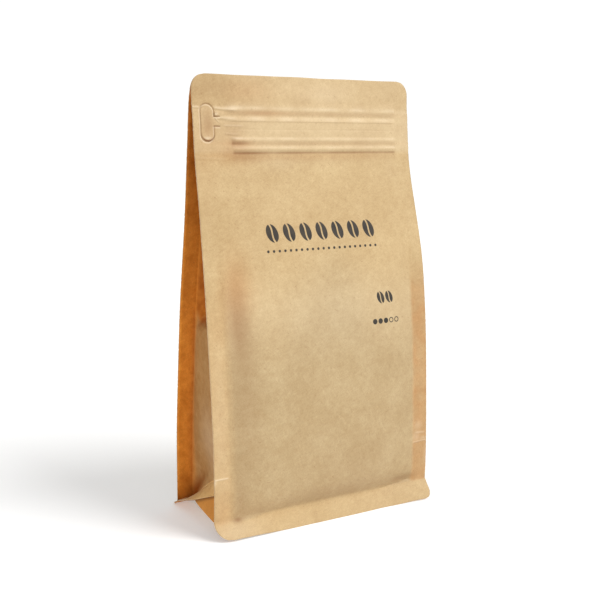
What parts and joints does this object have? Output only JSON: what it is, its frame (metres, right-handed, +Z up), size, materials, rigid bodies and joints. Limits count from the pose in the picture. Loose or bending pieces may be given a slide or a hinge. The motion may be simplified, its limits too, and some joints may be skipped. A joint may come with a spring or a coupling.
{
  "type": "coffee bag",
  "caption": "Shut kraft paper pouch of coffee with side gussets, flat bottom, side seal fins, a press-to-close ribbed band and a header, standing upright.",
  "frame": {"origin": "centre of the outer box's bottom, on the surface that the pouch stands on", "axes": "+Z up the pouch; the printed front with the ribbed closure faces -Y; +X to the viewer's right"},
  "size_m": [0.135, 0.066, 0.2375],
  "materials": {
    "kraft": "uncoated matt kraft paper laminate with a slight sheen"
  },
  "bodies": {
    "root": {"bag": "kraft"}
  },
  "joints": []
}
